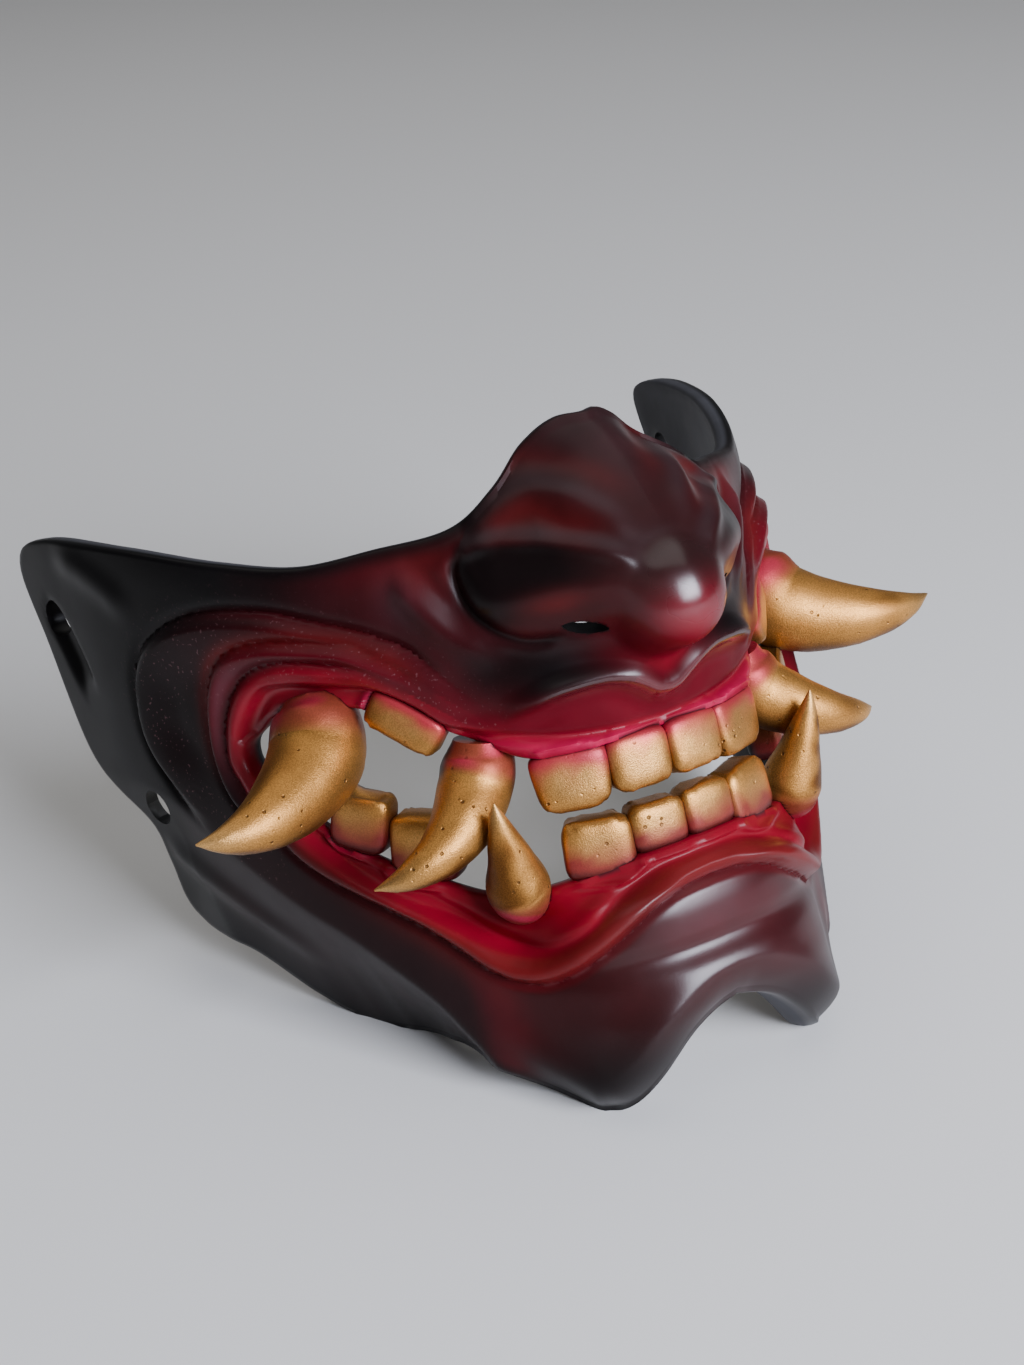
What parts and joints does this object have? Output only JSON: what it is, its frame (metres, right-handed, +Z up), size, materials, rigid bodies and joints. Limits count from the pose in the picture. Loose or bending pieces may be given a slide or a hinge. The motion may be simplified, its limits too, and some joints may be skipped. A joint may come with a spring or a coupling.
{
  "type": "menpo mask",
  "caption": "Snarling demon half mask that covers the face from nose to chin, with a ball-tipped nose, folded cheeks, bared teeth, curved tusks and strap holes.",
  "frame": {"origin": "middle of the bounding box in plan, at the level of the table it stands on", "axes": "+Z up as the mask stands unheld on its chin and jaw; -Y is the front, where the nose points; +X is the wearer's left"},
  "size_m": [0.1888, 0.1666, 0.1374],
  "materials": {
    "resin": "satin airbrushed paint over cast resin"
  },
  "bodies": {
    "root": {"mask": "resin"}
  },
  "joints": []
}
